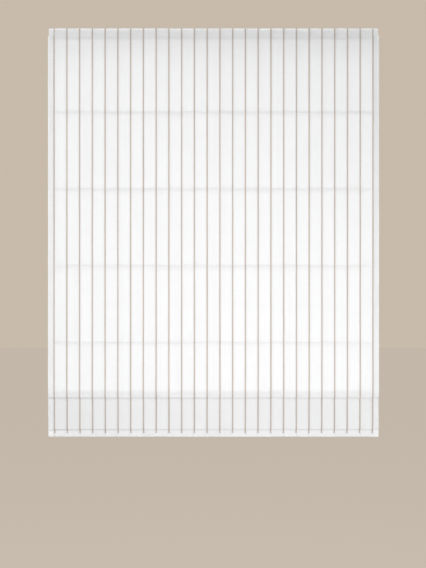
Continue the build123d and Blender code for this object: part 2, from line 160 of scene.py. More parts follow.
# %% Helpers for finishes
class Finish:
    """A material under construction, with short ways to add and join nodes."""

    def __init__(self, name, colour, roughness, **settings):
        self.material = bpy.data.materials.new(name)
        self.material.use_nodes = True
        self.tree = self.material.node_tree
        self.shader = self.tree.nodes["Principled BSDF"]
        self.output = self.tree.nodes["Material Output"]
        self.shader.inputs["Base Color"].default_value = (*colour, 1)
        self.shader.inputs["Roughness"].default_value = roughness
        for socket, value in settings.items():
            self.shader.inputs[socket.replace("_", " ")].default_value = value
        self.material.diffuse_color = (*colour, 1)
        print("finish:", name)

    def node(self, kind, **settings):
        node = self.tree.nodes.new("ShaderNode" + kind)
        for key, value in settings.items():
            setattr(node, key, value)
        return node

    def join(self, source, target):
        self.tree.links.new(source, target)

    def sum(self, operation, first, second=None, third=None):
        """One Math node; each input is a socket or a number."""
        node = self.node("Math", operation=operation)
        for place, value in enumerate((first, second, third)):
            if value is None:
                continue
            if isinstance(value, (int, float)):
                node.inputs[place].default_value = value
            else:
                self.join(value, node.inputs[place])
        return node.outputs[0]

    def clamp(self, value):
        node = self.node("Clamp")
        self.join(value, node.inputs["Value"])
        return node.outputs["Result"]

    def parts(self, vector):
        node = self.node("SeparateXYZ")
        self.join(vector, node.inputs[0])
        return node.outputs

    def place(self):
        """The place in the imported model, which a piece keeps as it moves."""
        return self.node("TexCoord").outputs["Object"]

    def noise(self, vector, scale, detail=2.0):
        node = self.node("TexNoise")
        node.inputs["Scale"].default_value = scale
        node.inputs["Detail"].default_value = detail
        self.join(vector, node.inputs["Vector"])
        return node.outputs["Fac"]

    def stretched(self, vector, across, along, third=1.0):
        node = self.node("Mapping")
        node.inputs["Scale"].default_value = (across, along, third)
        self.join(vector, node.inputs["Vector"])
        return node.outputs["Vector"]

    def tint(self, factor, dark, light):
        """The base colour runs from one colour to the other."""
        node = self.node("Mix", data_type="RGBA")
        node.inputs["A"].default_value = (*dark, 1)
        node.inputs["B"].default_value = (*light, 1)
        self.join(factor, node.inputs["Factor"])
        self.join(node.outputs["Result"], self.shader.inputs["Base Color"])
        return node.outputs["Result"]

    def rough(self, factor, low, high):
        node = self.node("MapRange")
        node.inputs["To Min"].default_value = low
        node.inputs["To Max"].default_value = high
        self.join(factor, node.inputs["Value"])
        self.join(node.outputs["Result"], self.shader.inputs["Roughness"])

    def bump(self, height, strength, distance):
        node = self.node("Bump")
        node.inputs["Strength"].default_value = strength
        node.inputs["Distance"].default_value = distance
        self.join(height, node.inputs["Height"])
        self.join(node.outputs["Normal"], self.shader.inputs["Normal"])
        return node.outputs["Normal"]


# %% [markdown]
# The face cloth is a white plain weave with slubs, the thicker bits of yarn that make it look
# like linen. The weave is worked out from the cloth's own flat measure, kept as its UV map in
# metres, so it follows every fold. Two sine waves cross as warp and weft, and long thin noise
# makes the slubs. Thin cloth also passes light on, which the Translucent shader gives.

# %% Woven finishes
def woven(name, colour, shade, thread, slub, glow, twill=False, packed=False):
    """A cloth finish: thread pitch, how far slubs show and how much light comes through.

    A packed tape has no flat measure of its own, so its place across and up the blind is used.
    """
    finish = Finish(name, colour, 0.86, Sheen_Weight=0.12, Sheen_Roughness=0.5)
    finish.shader.inputs["Specular IOR Level"].default_value = 0.25
    if packed:
        place = finish.parts(finish.place())
        across_and_up = finish.node("CombineXYZ")
        finish.join(place["X"], across_and_up.inputs["X"])
        finish.join(place["Z"], across_and_up.inputs["Y"])
        uv = across_and_up.outputs[0]
    else:
        uv = finish.node("UVMap", uv_map="cloth").outputs["UV"]
    flat = finish.parts(uv)
    turns = math.pi / thread
    warp = finish.sum("SINE", finish.sum("MULTIPLY", flat["X"], turns))
    weft_place = finish.sum("ADD", flat["X"], flat["Y"]) if twill else flat["Y"]
    weft = finish.sum("SINE", finish.sum("MULTIPLY", weft_place, turns))
    weave = finish.sum("MULTIPLY", warp, weft)
    along_weft = finish.noise(finish.stretched(uv, 22, 900), 1.0, 3.0)
    along_warp = finish.noise(finish.stretched(uv, 900, 22), 1.0, 3.0)
    streaks = finish.noise(finish.stretched(uv, 330, 1.6), 1.0)
    slubs = finish.sum("MULTIPLY", along_weft, along_warp)
    level = finish.sum("MULTIPLY_ADD", slubs, slub * 2.2, finish.sum("MULTIPLY", weave, 0.28))
    mottled = finish.noise(finish.stretched(uv, 3.2, 3.2), 1.0)
    tone = finish.sum("MULTIPLY_ADD", mottled, 0.12, finish.sum("MULTIPLY_ADD", slubs, 1.6, -0.15))
    tone = finish.sum("MULTIPLY_ADD", streaks, 0.75, tone)
    tone = finish.clamp(finish.sum("MULTIPLY_ADD", weave, 0.12, tone))
    colour_out = finish.tint(tone, shade, colour)
    normal = finish.bump(level, 0.55, 0.35 * mm)
    if glow:
        through = finish.node("BsdfTranslucent")
        mix = finish.node("MixShader")
        mix.inputs["Fac"].default_value = glow
        finish.join(colour_out, through.inputs["Color"])
        finish.join(normal, through.inputs["Normal"])
        finish.join(finish.shader.outputs[0], mix.inputs[1])
        finish.join(through.outputs[0], mix.inputs[2])
        finish.join(mix.outputs[0], finish.output.inputs["Surface"])
    return finish.material


cloth_finish = woven("white_slub_cloth", (0.965, 0.965, 0.967), (0.885, 0.885, 0.887),
                     0.62 * mm, 0.5, 0.53)
stripe_finish = woven("taupe_stripe_yarn", (0.675, 0.595, 0.54), (0.515, 0.443, 0.398),
                      0.5 * mm, 0.3, 0.5, twill=True)
lining_finish = woven("cotton_lining", (0.944, 0.944, 0.942), (0.879, 0.879, 0.876), 0.42 * mm,
                      0.2, 0.66)
thread_finish = woven("sewing_thread", (0.93, 0.93, 0.925), (0.82, 0.82, 0.81), 0.2 * mm,
                      0.1, 0.35, twill=True)
cord_finish = woven("braided_cord", (0.86, 0.85, 0.82), (0.66, 0.65, 0.62), 0.45 * mm, 0.2, 0,
                    twill=True)
tape_finish = woven("fastening_tape", (0.82, 0.81, 0.78), (0.62, 0.61, 0.58), 0.9 * mm, 0.6, 0,
                    packed=True)

# %% [markdown]
# The hard pieces have plain, clean finishes: powder coat on the rail, zinc on the brackets and
# shaft, moulded plastic for the rest. Each gets the grain of how it was made. The coat has a
# fine orange peel, the zinc is brushed along its length, moulded pieces have a faint texture.

# %% Finishes of the hard pieces
def powder_coat(name, colour):
    finish = Finish(name, colour, 0.42, Coat_Weight=0.15, Coat_Roughness=0.3)
    place = finish.place()
    peel = finish.noise(place, 900)
    finish.rough(finish.noise(place, 60, 3.0), 0.36, 0.5)
    finish.tint(finish.noise(place, 14), [c * 0.96 for c in colour], colour)
    finish.bump(peel, 0.12, 0.2 * mm)
    return finish.material


def moulded(name, colour, roughness, grain=1400, through=0.0):
    finish = Finish(name, colour, roughness)
    finish.shader.inputs["Transmission Weight"].default_value = through
    finish.shader.inputs["IOR"].default_value = 1.48
    place = finish.place()
    fine = finish.noise(place, grain, 3.0)
    finish.rough(fine, roughness - 0.07, roughness + 0.09)
    finish.tint(finish.noise(place, 90, 3.0), [c * 0.93 for c in colour], colour)
    finish.bump(fine, 0.18, 0.1 * mm)
    return finish.material


def brushed_metal(name, colour, roughness):
    """Fine scratches that run along the piece."""
    finish = Finish(name, colour, roughness, Metallic=1.0)
    place = finish.place()
    lines = finish.noise(finish.stretched(place, 12, 1600, 1600), 1.0, 4.0)
    finish.rough(lines, roughness - 0.1, roughness + 0.14)
    finish.tint(finish.noise(place, 70, 4.0), [c * 0.86 for c in colour], colour)
    finish.bump(lines, 0.12, 0.06 * mm)
    return finish.material


rail_finish = powder_coat("white_powder_coat", (0.84, 0.84, 0.83))
white_plastic_finish = moulded("white_moulding", (0.84, 0.84, 0.82), 0.45)
clear_plastic_finish = moulded("milky_moulding", (0.80, 0.81, 0.80), 0.22, 500, 0.35)
grey_plastic_finish = moulded("grey_moulding", (0.56, 0.56, 0.55), 0.5)
motor_finish = moulded("motor_case", (0.78, 0.78, 0.77), 0.55, 2200)
zinc_finish = brushed_metal("zinc_plate", (0.60, 0.60, 0.62), 0.38)
steel_finish = brushed_metal("zinc_shaft", (0.55, 0.55, 0.57), 0.34)
bar_finish = brushed_metal("mill_aluminium", (0.76, 0.76, 0.77), 0.36)
rod_finish = moulded("fibreglass", (0.86, 0.86, 0.82), 0.3, 700, 0.55)


def pale_floor():
    """The floor is seen in the backdrop's colour and still takes a soft shadow."""
    finish = Finish("pale_floor", (0.66, 0.65, 0.63), 0.9)
    seen = picture_rays(finish.tree)
    glow = finish.node("Emission")
    glow.inputs["Color"].default_value = backdrop_colour
    mix = finish.node("MixShader")
    finish.join(finish.sum("MULTIPLY", seen, 0.88), mix.inputs["Fac"])
    finish.join(finish.shader.outputs[0], mix.inputs[1])
    finish.join(glow.outputs[0], mix.inputs[2])
    finish.join(mix.outputs[0], finish.output.inputs["Surface"])
    return finish.material


floor.data.materials.append(pale_floor())

# %% [markdown]
# The path of the cloth is the heart of this blind. It is drawn once, in a cut from front to
# back: down the front, round the upper fold, up behind it, over the gathered rod, down to the
# lower fold, and round once more into the hem. Its sizes come from the rods and the tape.

# %% The cloth's sizes
half_width = cloth_high.x
front = cloth_low.y
cloth_top, hem_bottom = cloth_high.z, cloth_low.z
face_thickness, lining_thickness, layer_gap = 0.8 * mm, 0.5 * mm, 0.2 * mm
lining_inset = face_thickness + layer_gap
full_stack = lining_inset + lining_thickness + layer_gap + face_thickness
nose_radius, tuck_gap, hem_turn = 2.8 * mm, 0.5 * mm, 2.6 * mm
rod_numbers, cord_sides = range(1, 7), ("left", "centre", "right")


def box_middle(node):
    low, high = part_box(node)
    return (low + high) / 2


rod_place = {i: box_middle(f"rod_{i}") for i in rod_numbers}
fold_below_rod = 20 * mm
first_centre = rod_place[5].z - fold_below_rod + nose_radius
second_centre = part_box("lining")[0].z - lining_inset + nose_radius
first_back = front + 2 * nose_radius
second_front = first_back + tuck_gap
second_back = second_front + 2 * nose_radius
hem_front = second_back + tuck_gap
pocket_radius, pocket_bore, weld = 3.3 * mm, 2.8 * mm, 0.2 * mm
tuck_radius = tuck_gap / 2 + lining_inset + lining_thickness
tuck_offset = first_back + tuck_gap / 2 - rod_place[5].y
tuck_drop = math.sqrt((pocket_radius + tuck_radius - weld) ** 2 - tuck_offset ** 2)
first_tuck, second_tuck = rod_place[5].z - tuck_drop, rod_place[6].z - tuck_drop
hem_pocket_top = hem_bottom + hem_turn + 25.6 * mm
tape_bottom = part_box("loop_tape")[0].z
side_hem_top = tape_bottom - 0.6 * mm
print("folds at", round(first_centre - nose_radius, 4), round(second_centre - nose_radius, 4))

# %% [markdown]
# A path is only straight runs and round bends, so two small functions draw it and a third
# joins them and measures the cloth along it. Each point also says which way the cloth's
# thickness lies, so that face, lining and turned edges stay apart at each bend.

# %% Drawing a path
def line(start, end, into, step):
    """Points from start to end; into says where the thickness lies."""
    count = max(1, round(math.dist(start, end) / step))
    (y, z), (to_y, to_z) = start, end
    return [((y + (to_y - y) * i / count, z + (to_z - z) * i / count), into)
            for i in range(count + 1)]


def turn(y, z, radius, start, end, side, count):
    """Points round a bend. Side is -1 where the front of the cloth is outside the bend."""
    angles = [math.radians(start + (end - start) * i / count) for i in range(count + 1)]
    return [((y + radius * math.cos(a), z + radius * math.sin(a)),
             (side * math.cos(a), side * math.sin(a))) for a in angles]


def join_path(*parts):
    """One list of points without the doubled ends, each with its length along the cloth."""
    points, length = [], 0.0
    for part in parts:
        for place, into in part:
            if points:
                step = math.dist(place, points[-1][0])
                if step < 1e-7:
                    continue
                length += step
            points.append((place, into, length))
    return points


row = 6 * mm
bend_steps = 14
facing_room, facing_window = (1.0, 0.0), (-1.0, 0.0)


def fold_path():
    """From the first fold's start on the front to the top of the hem's pocket."""
    return join_path(
        turn(front + nose_radius, first_centre, nose_radius, 180, 360, -1, bend_steps),
        line((first_back, first_centre), (first_back, first_tuck), facing_window, row),
        turn(first_back + tuck_gap / 2, first_tuck, tuck_gap / 2, 180, 0, 1, bend_steps),
        line((second_front, first_tuck), (second_front, second_centre), facing_room, row),
        turn(second_front + nose_radius, second_centre, nose_radius, 180, 360, -1, bend_steps),
        line((second_back, second_centre), (second_back, second_tuck), facing_window, row),
        turn(second_back + tuck_gap / 2, second_tuck, tuck_gap / 2, 180, 0, 1, bend_steps),
        line((hem_front, second_tuck), (hem_front, hem_pocket_top), facing_room, row))


print("gathered path of", len(fold_path()), "points")

# %% [markdown]
# Across the blind the cloth is a ribbon with its side hems turned to the back round the
# lining. The stripes are their own columns of faces with their own yarn, a little proud of the
# ground as a woven stripe is, so they stay sharp in any picture of the mesh.

# %% Ribbons across the blind
stripe_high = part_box("woven_stripes")[1]
stripe_pitch, stripe_width, stripe_proud = 38.5 * mm, 4 * mm, 0.12 * mm
stripe_edge = 0.15 * mm
stripes_each_side = round((stripe_high.x - stripe_width / 2) / stripe_pitch + 0.5)
side_hem_width, side_round = 18 * mm, full_stack / 2
lining_width = 2 * half_width - 8 * mm
plain_columns = 5  # between one stripe and the next


def striped_columns(reach):
    """(place, proud, stripe begins here) for each column of the front, out to both sides."""
    columns = []
    for k in range(-stripes_each_side, stripes_each_side):
        middle = (k + 0.5) * stripe_pitch
        inner = stripe_width / 2 - stripe_edge
        columns += [(middle - stripe_width / 2, 0, True), (middle - inner, stripe_proud, True),
                    (middle + inner, stripe_proud, True), (middle + stripe_width / 2, 0, False)]
        if k < stripes_each_side - 1:
            gap = stripe_pitch - stripe_width
            columns += [(middle + stripe_width / 2 + gap * j / plain_columns, 0, False)
                        for j in range(1, plain_columns)]
    first = columns[0][0]
    side = [(first - (first + reach) * j / 3, 0, False) for j in (3, 2, 1)]
    return side + columns + [(-x, 0, False) for x, _, _ in reversed(side)]


def plain_ribbon(reach):
    """Columns without side hems: outer point across and deep, inner point across and deep,
    flat measure, and whether a stripe begins there."""
    return [(x, -proud, x, face_thickness, x, striped)
            for x, proud, striped in striped_columns(reach)]


def hemmed_ribbon():
    """The face cloth with its two side hems, from one turned edge round to the other."""
    straight_reach = half_width - side_round
    inner_round = side_round - face_thickness
    bend = [math.radians(90 - 180 * i / 8) for i in range(9)]
    right = [(straight_reach + side_round * math.cos(a), side_round + side_round * math.sin(a),
              straight_reach + inner_round * math.cos(a), side_round + inner_round * math.sin(a),
              straight_reach + side_round * (math.pi / 2 - a), False) for a in bend]
    flap_end = half_width - side_hem_width
    flap_measure = right[0][4] + straight_reach - flap_end
    flap = [(flap_end + on, full_stack, flap_end + on, full_stack - face_thickness,
             flap_measure - on, False)
            for on in [(straight_reach - flap_end) * j / 3 for j in range(3)]]
    # The front runs left to right, so the right side's bend is read backwards.
    front_part = plain_ribbon(straight_reach)[1:-1]
    right_side = right[::-1] + flap[::-1]
    left_side = [(-xo, o, -xi, i, -u, s) for xo, o, xi, i, u, s in reversed(right_side)]
    return left_side + front_part + right_side


def lining_ribbon(columns=64):
    return [(x, lining_inset, x, lining_inset + lining_thickness, x, False)
            for x in np.linspace(-lining_width / 2, lining_width / 2, columns)]


print(2 * stripes_each_side, "stripes,", stripe_pitch, "apart")

# %% [markdown]
# A woven panel is never dead flat. It bellies a little between two rods and is nipped in by
# the stitches that hold each rod. Both are small, well under a millimetre, but they are what
# catches the light along the seams.

# %% How the cloth hangs
seam_depth, seam_reach = 0.35 * mm, 1.4 * mm
seam_levels = [rod_place[i].z for i in (1, 2, 3, 4)]
panel_ends = [side_hem_top, *seam_levels, first_centre]


def hang(x, z):
    """How far back the cloth lies at x and z, between the rods and in their seams."""
    shift = np.zeros_like(x)
    for number, (above, below) in enumerate(zip(panel_ends, panel_ends[1:])):
        if below <= z <= above:
            swell = math.sin(math.pi * (above - z) / (above - below)) ** 2
            shift = swell * mm * (0.42 * np.sin(x * 17.0 + number * 1.9)
                                  + 0.22 * np.sin(x * 31.0 + number * 4.1 + 0.6)
                                  + 0.25 * math.sin(number * 2.3 + 1.0))
    for level in seam_levels:
        shift = shift + seam_depth * math.exp(-((z - level) / seam_reach) ** 2)
    return shift


# %% [markdown]
# The ribbon is carried along the path into one closed mesh. A curve with a profile could do
# this too, but would not keep each layer's thickness true in the tight bends. The flat
# measure goes with it as UVs, for the weave.

# %% Cloth meshes
thin_edge, thin_reach = 0.06, 1.2 * mm  # share of the thickness left at a join, and how far back


def smooth_mesh(mesh):
    mesh.polygons.foreach_set("use_smooth", [True] * len(mesh.polygons))
    mesh.set_sharp_from_angle(angle=math.radians(40))


def sweep(name, ribbon, path, finishes, hanging=True, drawn_in=None, stripes_end=None,
          starts=True, ends=True, hidden="inside"):
    """A closed strip of cloth: the ribbon carried along the path, striped down to stripes_end.

    starts and ends say whether the cloth has a real edge there. Where the same cloth goes on,
    its hidden side runs out to a thin edge, because a full wall inside the cloth would stop
    light and show as a dark line against the window.
    """
    ribbon = np.array(ribbon, float)
    across_out, out, across_in, inside, measure = ribbon.T[:5]
    striped = ribbon.T[5] > 0.5
    columns, rows = len(ribbon), len(path)
    points = np.zeros((rows, 2, columns, 3))
    for j, ((y, z), (into_y, into_z), _) in enumerate(path):
        layers = [(across_out, out), (across_in, inside)]
        if (j == 0 and not starts) or (j == rows - 1 and not ends):
            far, near = (1, 0) if hidden == "inside" else (0, 1)
            layers[far] = tuple(kept + (gone - kept) * thin_edge
                                for kept, gone in zip(layers[near], layers[far]))
        for k, (across, depth) in enumerate(layers):
            x = across if drawn_in is None else drawn_in(across, z)
            shift = hang(x, z) if hanging else 0
            points[j, k, :, 0] = x
            points[j, k, :, 1] = y + depth * into_y + shift
            points[j, k, :, 2] = z + depth * into_z
    index = np.arange(rows * 2 * columns).reshape(rows, 2, columns)

    def quads(*corners):
        return np.stack([corner.ravel() for corner in corners], axis=1)

    outer, inner = index[:, 0], index[:, 1]
    faces = [quads(outer[:-1, :-1], outer[:-1, 1:], outer[1:, 1:], outer[1:, :-1]),
             quads(inner[:-1, :-1], inner[1:, :-1], inner[1:, 1:], inner[:-1, 1:]),
             quads(outer[:-1, 0], outer[1:, 0], inner[1:, 0], inner[:-1, 0]),
             quads(outer[:-1, -1], inner[:-1, -1], inner[1:, -1], outer[1:, -1]),
             quads(outer[0, :-1], inner[0, :-1], inner[0, 1:], outer[0, 1:]),
             quads(outer[-1, :-1], outer[-1, 1:], inner[-1, 1:], inner[-1, :-1])]
    with_stripe = np.ones(rows - 1, bool) if stripes_end is None else np.array(
        [place[1] > stripes_end and into[0] > 0.99 for place, into, _ in path[1:]])
    kinds = [np.outer(with_stripe, striped[:-1]).ravel()]
    kinds += [np.zeros(len(f), bool) for f in faces[1:]]
    faces, kinds = np.concatenate(faces), np.concatenate(kinds)
    mesh = bpy.data.meshes.new(name)
    mesh.from_pydata(points.reshape(-1, 3), [], faces)
    uv_layer = mesh.uv_layers.new(name="cloth")
    lengths = np.array([length for _, _, length in path])
    flat = np.zeros((rows, 2, columns, 2))
    flat[..., 0] = measure
    flat[..., 1] = lengths[:, None, None]
    uv_layer.data.foreach_set("uv", flat.reshape(-1, 2)[faces.ravel()].ravel())
    for finish in finishes:
        mesh.materials.append(finish)
    mesh.polygons.foreach_set("material_index", kinds.astype(int))
    mesh.validate()
    smooth_mesh(mesh)
    piece = bpy.data.objects.new(name, mesh)
    bpy.context.scene.collection.objects.link(piece)
    return piece


# %% [markdown]
# When the blind is raised each panel folds in half, forwards. A mesh can only be flattened
# towards one point, so every panel is two halves. The upper half rides the rod or rail above
# it, the lower half rides the rod below it.

# %% Panels that fold
seam_row = 0.6 * mm
cloth_nodes = {"white_linen": ("face_fabric", "woven_stripes"), "lining_cloth": ("lining",)}


def fold_half(piece, body):
    """Make one half of a panel ride its rod, with a mesh of its own."""
    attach(piece, body)
    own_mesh(piece)


def name_cloth(kind):
    """Hide the imported stand-ins for this kind of cloth."""
    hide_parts(*cloth_nodes[kind])


def fine_rows(top, bottom):
    """Rows down a panel's half, close together where a seam nips the cloth."""
    marks = {top, top - thin_reach, bottom + thin_reach, bottom}
    for level in seam_levels:
        marks |= {level + k * seam_row for k in range(-8, 9) if k}
    marks = sorted((m for m in marks if bottom <= m <= top), reverse=True)
    path = [line((front, a), (front, b), facing_room, row) for a, b in zip(marks, marks[1:])]
    return join_path(*path)


def continue_length(path, start):
    """Measure a path's cloth length on from where the piece above it ended."""
    return [(place, into, start + length) for place, into, length in path]


face_ribbon, inner_ribbon = hemmed_ribbon(), lining_ribbon()
face_finishes, lining_finishes = (cloth_finish, stripe_finish), (lining_finish,)
panel_bodies = ["root", "rod_1", "rod_2", "rod_3", "rod_4", "rod_5"]
flat_width = 2 * (half_width + side_hem_width)
for number in range(1, 6):
    top, bottom = panel_ends[number - 1], panel_ends[number]
    middle = (top + bottom) / 2
    upper_body, lower_body = panel_bodies[number - 1], panel_bodies[number]
    halves = [("upper", upper_body, top, top, middle, -1),
              ("lower", lower_body, bottom, middle, bottom, 1)]
    for part, body, anchor, start, end, leans in halves:
        path = continue_length(fine_rows(start, end), cloth_top - start)
        cut_above = (number, part) == (1, "upper")
        face = sweep(f"cloth_panel_{number}_{part}", face_ribbon, path, face_finishes,
                     starts=cut_above, ends=False)
        lining = sweep(f"lining_panel_{number}_{part}", inner_ribbon, path, lining_finishes,
                       starts=cut_above, ends=False, hidden="outside")
        for piece, kind, width in ((face, "white_linen", flat_width),
                                   (lining, "lining_cloth", lining_width)):
            fold_half(piece, body)
            name_cloth(kind)
print("panels fold between", [round(z, 4) for z in panel_ends])

# %% [markdown]
# Below the fourth seam the cloth stays gathered at any height. The fold over the front, the
# tuck behind it, the lower panel, its own fold and the hem all move as one with the bottom
# bar, so they are one sweep.

# %% Gathered folds
folded = continue_length(fold_path(), cloth_top - first_centre)
gathered_face = sweep("cloth_gathered", face_ribbon, folded, face_finishes, hanging=False,
                      starts=False)
gathered_lining = sweep("lining_gathered", inner_ribbon, folded, lining_finishes, hanging=False,
                        starts=False, hidden="outside")
for piece, kind, width in ((gathered_face, "white_linen", flat_width),
                           (gathered_lining, "lining_cloth", lining_width)):
    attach(piece, "bottom")
    name_cloth(kind)

# %% [markdown]
# At the top the cloth is turned over the lining's edge and held by the tape on the rail. It
# is drawn in a little at both corners, where the side hems are trimmed away to lie flat. At
# the bottom it goes round the weight bar and back up to be sewn to itself.

# %% Heading and bottom hem
corner_trim, corner_drop, corner_ease, corner_width = 3 * mm, 21 * mm, 4 * mm, 20 * mm
heading_turn, heading_tuck = 0.95 * mm, 5 * mm


def drawn_in(x, z):
    """The heading's sides come in over its last 21 mm."""
    share = min(1.0, max(0.0, (z - (cloth_top - corner_drop - corner_ease)) / corner_ease))
    beyond = np.clip((np.abs(x) - (half_width - corner_width)) / corner_width, 0, 1)
    return x - np.sign(x) * corner_trim * share * beyond


turn_back = front + 2 * heading_turn
heading_path = join_path(
    line((turn_back, cloth_top - heading_tuck), (turn_back, cloth_top - heading_turn),
         facing_window, row),
    turn(front + heading_turn, cloth_top - heading_turn, heading_turn, 0, 180, -1, 8),
    line((front, cloth_top - heading_turn), (front, side_hem_top), facing_room, 2 * mm))
heading_path = continue_length(heading_path, -heading_path[-1][2] - side_hem_top)
heading = sweep("cloth_heading", plain_ribbon(half_width), heading_path, face_finishes,
                hanging=False, drawn_in=drawn_in)
lining_head_path = join_path(line((front, cloth_top - heading_tuck - 0.2 * mm),
                                  (front, side_hem_top), facing_room, row))
lining_heading = sweep("lining_heading", inner_ribbon, lining_head_path, lining_finishes,
                       hanging=False)
hem_back = hem_front + 2 * hem_turn
shelf_turn = 0.9 * mm
plain_edge = 5 * mm  # the stripes stop this far above the hem's lower edge
hem_path = join_path(
    line((hem_front, hem_pocket_top), (hem_front, hem_bottom + plain_edge), facing_room, row),
    line((hem_front, hem_bottom + plain_edge), (hem_front, hem_bottom + hem_turn),
         facing_room, row),
    turn(hem_front + hem_turn, hem_bottom + hem_turn, hem_turn, 180, 360, -1, 16),
    line((hem_back, hem_bottom + hem_turn), (hem_back, hem_pocket_top - shelf_turn),
         facing_window, row),
    turn(hem_back - shelf_turn, hem_pocket_top - shelf_turn, shelf_turn, 0, 90, -1, 6),
    line((hem_back - shelf_turn, hem_pocket_top), (hem_front + face_thickness, hem_pocket_top),
         (0.0, -1.0), row))
hem_path = continue_length(hem_path, folded[-1][2])
hem = sweep("cloth_hem", plain_ribbon(half_width), hem_path, face_finishes,
            hanging=False, stripes_end=hem_bottom + plain_edge)
ends_of_cloth = [(heading, "root", "white_linen", 2 * half_width, heading_path),
                 (lining_heading, "root", "lining_cloth", lining_width, lining_head_path),
                 (hem, "bottom", "white_linen", 2 * half_width, hem_path)]
for piece, body, kind, width, path in ends_of_cloth:
    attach(piece, body)
    name_cloth(kind)
print("hem ends", round(hem_path[-1][2], 4), "down the cloth")

# %% [markdown]
# Small round pieces are turned: an outline of radius and length is spun round an axis. That
# suits rings, tips, bushes, cones and spools, and gives them the soft edges of a moulding.

# %% Turning helper
def ring_angles(sides):
    return np.linspace(0, 2 * math.pi, sides, endpoint=False)


def spin(outline, axis, centre, segments, closed):
    """Points and faces of an outline of (radius, along) spun round an axis through centre."""
    angles = ring_angles(segments)
    outline = np.array(outline, float)
    radius, along = outline[:, 0], outline[:, 1]
    cos, sin = np.outer(np.cos(angles), radius), np.outer(np.sin(angles), radius)
    length = np.tile(along, (segments, 1))
    parts = {"x": (length, cos, sin), "z": (cos, sin, length)}[axis]
    points = np.stack(parts, axis=-1) + np.array(centre)
    index = np.arange(segments * len(outline)).reshape(segments, len(outline))
    following = np.roll(index, -1, axis=0)
    if closed:
        index, following = (np.concatenate([i, i[:, :1]], axis=1) for i in (index, following))
    faces = np.stack([index[:, :-1], index[:, 1:], following[:, 1:], following[:, :-1]], axis=-1)
    return points.reshape(-1, 3), faces.reshape(-1, 4)


def tube_faces(steps, sides):
    """The skin of a tube of steps + 1 rings of points, closed at both ends."""
    index = np.arange((steps + 1) * sides).reshape(steps + 1, sides)
    following = np.roll(index, -1, axis=1)
    skin = np.stack([index[:-1], following[:-1], following[1:], index[1:]], axis=-1)
    return skin.reshape(-1, 4).tolist() + [index[0, ::-1].tolist(), index[-1].tolist()]


def gather(name, shapes, finish, body, nodes):
    """One piece from several turned or swept shapes."""
    points, faces, count = [], [], 0
    for shape_points, shape_faces in shapes:
        points.append(shape_points)
        faces += [[int(i) + count for i in face] for face in shape_faces]
        count += len(shape_points)
    mesh = bpy.data.meshes.new(name)
    mesh.from_pydata(np.concatenate(points), [], faces)
    work = bmesh.new()
    work.from_mesh(mesh)
    bmesh.ops.remove_doubles(work, verts=work.verts, dist=1e-6)
    bmesh.ops.recalc_face_normals(work, faces=work.faces)
    work.to_mesh(mesh)
    work.free()
    mesh.materials.append(finish)
    smooth_mesh(mesh)
    piece = bpy.data.objects.new(name, mesh)
    bpy.context.scene.collection.objects.link(piece)
    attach(piece, body)
    if nodes:
        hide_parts(*nodes)
    return piece


def flat_measure(piece, measure):
    """Woven pieces need their flat measure; measure turns points into across and along."""
    mesh = piece.data
    points = np.zeros(len(mesh.vertices) * 3)
    mesh.vertices.foreach_get("co", points)
    corners = np.zeros(len(mesh.loops), int)
    mesh.loops.foreach_get("vertex_index", corners)
    flat = np.stack(measure(points.reshape(-1, 3)), axis=1)
    mesh.uv_layers.new(name="cloth").data.foreach_set("uv", flat[corners].ravel())


# %% [markdown]
# Each rod lies in a tube of lining cloth that is sewn across the back. The tube is a little
# puckered where the stitches pull it. A ring is sewn to the tube for every cord, and each
# rod has a push-on tip at both ends.

# %% Rod pockets, rings and tips
body_of_rod = {**{i: f"rod_{i}" for i in range(1, 6)}, 6: "bottom"}
pocket_half_length = half_width - 30 * mm
pocket_columns, pocket_sides = 188, 36
neck, neck_reach = 0.17, 0.42  # radians either side of the seam
ring_wire, ring_middle = 1.1 * mm, 5.4 * mm


def pocket_outline(number, pucker):
    """Outer and inner loops round a rod: the outer one reaches the cloth it is sewn to."""
    loops = []
    centre = rod_place[number]
    reach = centre.y - (front + lining_inset + lining_thickness) + seam_depth
    for a in ring_angles(pocket_sides):
        away = abs(a - math.pi)
        radius = pocket_radius + pucker
        if number < 5:
            pull = max(0.0, 1 - max(0.0, away - neck) / neck_reach) ** 2
            radius += (reach / max(math.cos(min(away, neck)), 0.5) - radius) * pull
        loops.append(((centre.y + radius * math.cos(a), centre.z + radius * math.sin(a)),
                      (centre.y + pocket_bore * math.cos(a), centre.z + pocket_bore * math.sin(a))))
    return loops


def make_pocket(number):
    points = []
    for x in np.linspace(-pocket_half_length, pocket_half_length, pocket_columns):
        pucker = 0.12 * mm * math.sin(x * 690 + number) * math.sin(x * 143)
        loops = pocket_outline(number, pucker)
        points += [(x, *outer) for outer, _ in loops] + [(x, *inner) for _, inner in loops]
    index = np.arange(len(points)).reshape(pocket_columns, 2, pocket_sides)
    outer, inner, both_ends = index[:, 0], index[:, 1], slice(None, None, pocket_columns - 1)
    bands = [*zip(outer, outer[1:]), *zip(inner[1:], inner),
             *zip(outer[both_ends], inner[both_ends])]
    faces = [np.stack([a, b, np.roll(b, -1), np.roll(a, -1)], axis=1) for a, b in bands]
    piece = gather(f"rod_pocket_{number}", [(np.array(points), np.concatenate(faces))],
                   lining_finish, body_of_rod[number], ["lining"])
    middle = rod_place[number]
    flat_measure(piece, lambda at: (at[:, 0], pocket_radius * np.arctan2(at[:, 2] - middle.z,
                                                                         at[:, 1] - middle.y)))


def ring_shape(place):
    outline = [(ring_middle + ring_wire * math.cos(a), ring_wire * math.sin(a))
               for a in ring_angles(14)]
    return spin(outline, "z", place, 40, True)


